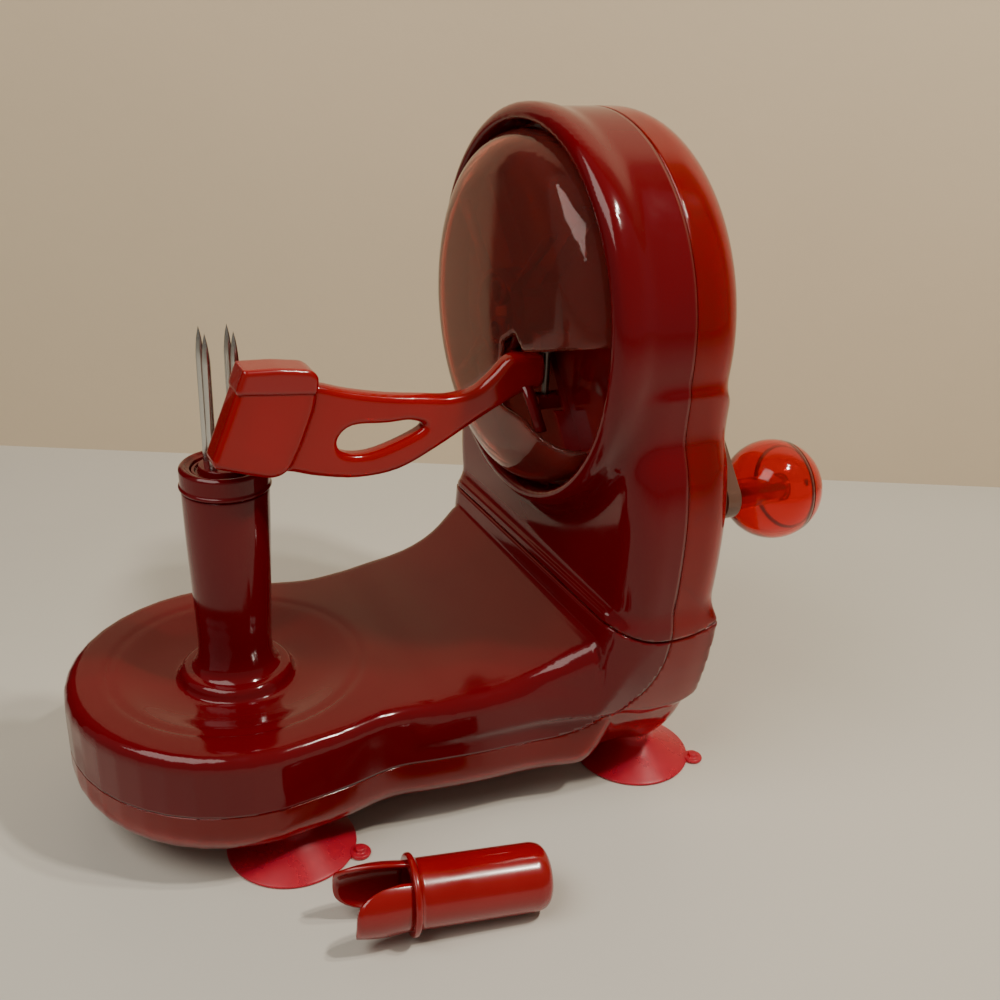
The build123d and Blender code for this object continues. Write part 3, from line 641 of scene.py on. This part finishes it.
def build_arm():
    low, high = ARM_Y - ARM_HALF, ARM_Y + ARM_HALF

    def leave_head(field, x, y, z):
        """Takes the room of the blade head out of the arm's field."""
        flat_x, flat_z = x[:, 0, :] + 0 * z[:, 0, :], z[:, 0, :] + 0 * x[:, 0, :]
        room = outline_distance(np.asarray(HEAD_OUT, float), flat_x, flat_z)
        return np.maximum(field, -room[:, None, :])

    outline = rounded_run(ARM_OUT, 4, True)
    window = rounded_run(ARM_HOLE, 4, True)
    points, faces = solid_plate(outline, low, high, 2.6, 0.8, [window], leave_head)
    add_mesh("arm", points, faces, "arm", arm_red, ["blade_arm"])

    front, rear = box_mm("blade_head")[0].y, box_mm("blade_head")[1].y
    head_outline = soften(np.vstack([HEAD_OUT, HEAD_OUT[:1]]), 3.0)[:-1]
    points, faces = solid_plate(head_outline, front, rear, 2.2, 0.7)
    add_mesh("blade_block", points, faces, "arm", arm_red, ["blade_head"])
    rim_outline = soften(np.vstack([RIM_OUT, RIM_OUT[:1]]), 2.0)[:-1]
    points, faces = solid_plate(rim_outline, front - 0.6, rear + 0.6, 1.6, 0.7)
    add_mesh("head_rim_skin", points, faces, "arm", cap_red, ["head_rim"])


build_arm()


# ---- post, collar and hub --------------------------------------------------------------------------
def build_post():
    foot_z = BASE_TOP - 1.0
    profile = rounded_run([(19.6, foot_z - 1.4), (18.0, foot_z), (15.6, foot_z + 2.6),
                           (14.5, foot_z + 7), (14.3, foot_z + 14), (14.9, 90), (15.8, 115),
                           (16.2, COLLAR_LOW - 0.5)], 6)
    profile = np.vstack([profile, [(15.2, COLLAR_LOW - 0.2), (12.2, COLLAR_LOW - 0.2)]])
    points, faces = turned(soften(profile, 0.6), (0, 0, 0))
    add_mesh("post_skin", points, faces, "casing", red, ["post"])
    collar = [(12.4, COLLAR_LOW), (POST_R - 0.3, COLLAR_LOW), (POST_R + 0.4, COLLAR_LOW + 0.5),
              (POST_R + 0.4, COLLAR_LOW + 1.3), (POST_R - 0.2, COLLAR_LOW + 1.9),
              (POST_R, POST_TOP - 1.1), (POST_R - 1.1, POST_TOP), (14.6, POST_TOP),
              (13.8, POST_TOP - 0.8), (12.4, POST_TOP - 1.0), (12.4, COLLAR_LOW)]
    points, faces = turned(soften(collar, 0.5), (0, 0, 0))
    add_mesh("collar_skin", points, faces, "casing", red, ["post_collar"])
    hub = [(0.01, POST_TOP - 7), (12.0, POST_TOP - 7), (12.0, POST_TOP - 1.7),
           (10.8, POST_TOP - 1.7), (10.6, POST_TOP - 3), (9.5, POST_TOP - 3), (9.3, POST_TOP - 0.2),
           (8.9, POST_TOP), (0.01, POST_TOP)]
    points, faces = turned(soften(hub, 0.4), (0, 0, 0))
    add_mesh("hub_skin", points, faces, "fork", red, ["spindle_hub"])
    tine_low, tine_high = box_mm("fork_tines")
    reach = (tine_high.x - tine_low.x) / 2 - TINE_R
    tine = soften([(TINE_R, POST_TOP - 2), (TINE_R, tine_high.z - 10), (0.9, tine_high.z - 4),
                   (0.01, tine_high.z)], 2.0, 4)
    corners = [(i * reach, j * reach, 0) for i in (-1, 1) for j in (-1, 1)]
    points, faces = joined(*[turned(tine, corner, segments=32) for corner in corners])
    add_mesh("tines_skin", points, faces, "fork", steel, ["fork_tines"])


build_post()


# ---- crank -----------------------------------------------------------------------------------------
def build_knob():
    """Ball of two thin halves on a stem, with a dark ring in the joint between them."""
    part_x = box_mm("knob_lid")[0].x
    start_x = KNOB.x - KNOB_R
    centre = (0, KNOB.y, KNOB.z)

    def ball(start, end):
        at = np.linspace(start, end, 28)
        return [(math.sqrt(max(KNOB_R**2 - (h - KNOB.x) ** 2, 1e-4)), h) for h in at]

    body = ball(start_x + 0.6, part_x - KNOB_GAP)
    inner = [(q - KNOB_WALL, h) for q, h in body[::-1]]
    body = body + inner[:1] + [p for p in inner if p[0] > 4]
    stem_in, stem_out = 3.3, 6.0
    stem = [(stem_in, start_x + 0.8), (stem_out, start_x + 0.8), (stem_out, part_x - 1),
            (stem_in, part_x - 1)]
    points, faces = joined(turned(body, centre, "X", 96), turned(soften(stem, 0.5), centre, "X", 64))
    add_mesh("knob_ball", points, faces, "knob", knob_red, ["knob_body"])

    edge_r = math.sqrt(KNOB_R**2 - (part_x - KNOB.x) ** 2)
    low_r, high_r = edge_r - 2.4, edge_r - 0.35
    half = KNOB_GAP - 0.01
    seam = [(low_r, part_x - half), (high_r, part_x - half), (high_r, part_x + half),
            (low_r, part_x + half), (low_r, part_x - half)]
    points, faces = turned(seam, centre, "X", 96)
    add_mesh("knob_seam", points, faces, "knob", red, ())

    lid = ball(part_x + KNOB_GAP, KNOB.x + KNOB_R - 0.01)
    inner = [(max(q - KNOB_WALL, 0.01), h - 0.9) for q, h in lid[::-1]]
    points, faces = turned(lid + inner, centre, "X", 96)
    add_mesh("knob_cap", points, faces, "knob", knob_red, ["knob_lid"])


def build_hub_cap():
    """Rounded cap over the crank's hub, behind the tower."""
    low, high = box_mm("crank_hub_cap")
    mid_y, mid_z = (low.y + high.y) / 2, (low.z + high.z) / 2
    r = (high.y - low.y) / 2
    profile = [(0.01, low.x), (r - 1, low.x), (r, low.x + 3.6), (r - 2, high.x - 5.6),
               (r * 0.76, high.x - 2.4), (r * 0.38, high.x - 0.5), (0.01, high.x)]
    points, faces = turned(soften(profile, 4.0, 5), (0, mid_y, mid_z), "X")
    add_mesh("hub_cap_skin", points, faces, "crank", smoky_grey, ["crank_hub_cap"])


build_knob()
build_hub_cap()


# ---- suction cups ----------------------------------------------------------------------------------
def build_cups():
    """Four flared cups, each with a pull tab at its edge."""
    seat = BASE_LOW - 0.4
    outer = [(CUP_R - 0.6, 0.05), (CUP_R, 0.5), (CUP_R - 0.2, 1.1), (22.5, 2.2), (17.5, 4.6),
             (12.5, 7.0), (9.0, 9.0), (7.6, 11), (7.4, seat), (0.01, seat)]
    inner = [(0.01, 6.6), (6, 6.4), (11, 5.2), (17, 2.6), (21.8, 0.4), (CUP_R - 0.6, 0.05)]
    profile = np.vstack([soften(outer, 2.0, 4), soften(inner, 3.0, 4)])
    tab_profile = soften([(0.01, 0.25), (4.1, 0.25), (4.3, 1.0), (3.9, 1.7), (2.2, 1.9), (2.0, 3.3),
                          (0.01, 3.4)], 0.6)
    tab_reach = CUP_R + 2.3
    for name in ("front_left", "front_right", "rear_left", "rear_right"):
        node = "suction_cup_" + name
        side = 1 if "left" in name else -1
        x, y = box_mm(node)[0].x + CUP_R, side * CUP_Y
        turn = math.radians(side * 35)
        tab_x, tab_y = x + tab_reach * math.cos(turn), y + tab_reach * math.sin(turn)
        points, faces = joined(turned(profile, (x, y, 0), segments=96),
                               turned(tab_profile, (tab_x, tab_y, 0), segments=40))
        add_mesh("cup_" + name, points, faces, "casing", soft_pink, [node])


build_cups()


# ---- loose cap for the fork ------------------------------------------------------------------------
def petal(centre, tongue, flare):
    """Rounded tongue of a given length, flared round the cap's mouth, as (points, faces)."""
    wide, tall = 25, 12
    half_angle, thickness, root = 70, 1.6, 0.5
    points, faces = [], []
    for side in (0.0, -thickness):
        for share in np.linspace(-1, 1, wide):
            reach = math.sqrt(max(1 - abs(share) ** 4, 0.05))
            a = math.radians(centre + half_angle * share)
            for t in np.linspace(0, 1, tall):
                h = root - tongue * t * reach
                r = np.interp(-h, -flare[:, 1], flare[:, 0]) + side
                points.append((r * math.cos(a), r * math.sin(a), h))
    for layer in (0, 1):
        for i in range(wide - 1):
            for j in range(tall - 1):
                k = layer * wide * tall + i * tall + j
                face = (k, k + tall, k + tall + 1, k + 1)
                faces.append(face if layer else face[::-1])
    rim = [(i, 0) for i in range(wide)] + [(wide - 1, j) for j in range(1, tall)]
    rim += [(i, tall - 1) for i in range(wide - 2, -1, -1)]
    rim += [(0, j) for j in range(tall - 2, 0, -1)]
    for (i0, j0), (i1, j1) in zip(rim, rim[1:] + rim[:1]):
        a, b = i0 * tall + j0, i1 * tall + j1
        faces.append((a, b, b + wide * tall, a + wide * tall))
    return points, faces


def build_cap():
    """Tube with a closed end, a collar and two flared petals, lying on its side."""
    length, outer, collar, bore = 52.0, 12.3, 14.5, 10.3
    lie = Matrix.Translation((33.0, -103.0, collar + 0.05))
    lie = lie @ Matrix.Rotation(math.radians(-9), 4, "Z")
    lie = lie @ Matrix.Rotation(math.radians(92.4), 4, "Y") @ Matrix.Rotation(math.pi / 2, 4, "Z")
    skin = [(bore, 0), (collar - 0.5, 0), (collar, 0.5), (collar, 2.0), (outer, 3.2),
            (outer, length - 5), (outer - 1.0, length - 2), (outer - 3.4, length - 0.3),
            (outer - 6, length), (0.01, length)]
    lining = [(0.01, length - 1.8), (bore - 1, length - 1.8), (bore, length - 3), (bore, 0)]
    tube = turned(np.vstack([soften(skin, 1.6, 4), soften(lining, 1.0)]), (0, 0, 0), segments=96)
    flare = rounded_run([(11.9, 0.5), (12.5, -5), (12.8, -11), (12.4, -17), (11.6, -22),
                         (10.6, -26)], 4)
    points, faces = joined(tube, petal(8, 25.5, flare), petal(188, 20.5, flare))
    points = np.array([lie @ Vector(p) for p in points])
    add_mesh("cap_skin", points, faces, "fork_cap", cap_red, ["fork_cap"])


build_cap()


# ---- studio ----------------------------------------------------------------------------------------
def studio_surface(name, points, color, roughness, grain):
    """Flat matt four-cornered surface of the room."""
    material, tree, bsdf = shader(name, color, roughness)
    low = tuple(c * 0.93 for c in color)
    tinted(tree, bsdf, noise(tree, 3, 5), low, color)
    bumped(tree, bsdf, noise(tree, grain, 5), 0.0002)
    mesh = bpy.data.meshes.new(name)
    mesh.from_pydata([tuple(p) for p in place(points)], [], [(0, 1, 2, 3)])
    mesh.materials.append(material)
    thing = bpy.data.objects.new(name, mesh)
    bpy.context.scene.collection.objects.link(thing)


def area_light(name, at, aim, width, height, power, color):
    """Lamp of a width and height in millimetres and a power in watts."""
    data = bpy.data.lights.new(name, "AREA")
    data.shape = "RECTANGLE"
    data.size, data.size_y = width * MM, height * MM
    data.energy, data.color = power, color
    lamp = bpy.data.objects.new(name, data)
    lamp.location = place(at)
    lamp.rotation_euler = (Vector(place(aim)) - lamp.location).to_track_quat("-Z", "Y").to_euler()
    bpy.context.scene.collection.objects.link(lamp)


def build_studio():
    """Pale table, a wall behind it, two small lamps and a wide soft one."""
    far = 3000.0
    painted_shade_from = 300.0
    wall_heading, wall_distance = math.radians(26.2), 352.0
    facing = np.array([math.sin(wall_heading), math.cos(wall_heading), 0])
    along = np.array([math.cos(wall_heading), -math.sin(wall_heading), 0])
    up = np.array([0, 0, far])
    foot = wall_distance * facing + (0, 0, -0.05)
    near = foot - 2 * far * facing
    left, right = foot - far * along, foot + far * along
    table = [near - far * along, near + far * along, right, left]
    studio_surface("table_top", table, (0.62, 0.60, 0.54), 0.42, 60)
    studio_surface("wall", [left, right, right + up, left + up], (0.68, 0.56, 0.40), 0.8, 90)
    # painted shade: a near-black sheet 5 mm in front of the wall's left end, beyond the frame, makes
    # that end of the room look unlit, also in the glossy parts' reflections
    edge = foot - 5.0 * facing - painted_shade_from * along
    panel = [edge - far * along, edge, edge + up, edge - far * along + up]
    studio_surface("painted_shade_room_end", panel, (0.035, 0.02, 0.015), 0.8, 90)

    target, warm, soft = (80, 0, 120), (1.0, 0.92, 0.80), (1.0, 0.95, 0.87)
    area_light("key", (420, -420, 900), target, 60, 60, 4.5, warm)
    area_light("second", (480, -330, 900), target, 40, 40, 2.4, warm)
    area_light("ceiling", (-750, -250, 1300), (60, 60, 100), 1100, 700, 13, soft)
    world = bpy.data.worlds.new("room")
    bpy.context.scene.world = world
    world.use_nodes = True
    background = world.node_tree.nodes["Background"]
    background.inputs["Color"].default_value = (0.62, 0.57, 0.48, 1)
    background.inputs["Strength"].default_value = 0.32


build_studio()


def build_camera():
    data = bpy.data.cameras.new("view")
    data.sensor_width = 36.0
    data.lens = 40.84
    camera = bpy.data.objects.new("view", data)
    bpy.context.scene.collection.objects.link(camera)
    camera.location = place((-81.3, -388.6, 308.3))
    yaw, pitch, roll = math.radians(-26.71), math.radians(24.41), math.radians(2.60)
    aim = Matrix.Rotation(yaw, 4, "Z") @ Matrix.Rotation(math.pi / 2 - pitch, 4, "X")
    aim = aim @ Matrix.Rotation(roll, 4, "Z")
    camera.rotation_euler = aim.to_euler()
    data.clip_start, data.clip_end = 0.01, 20
    bpy.context.scene.camera = camera


build_camera()
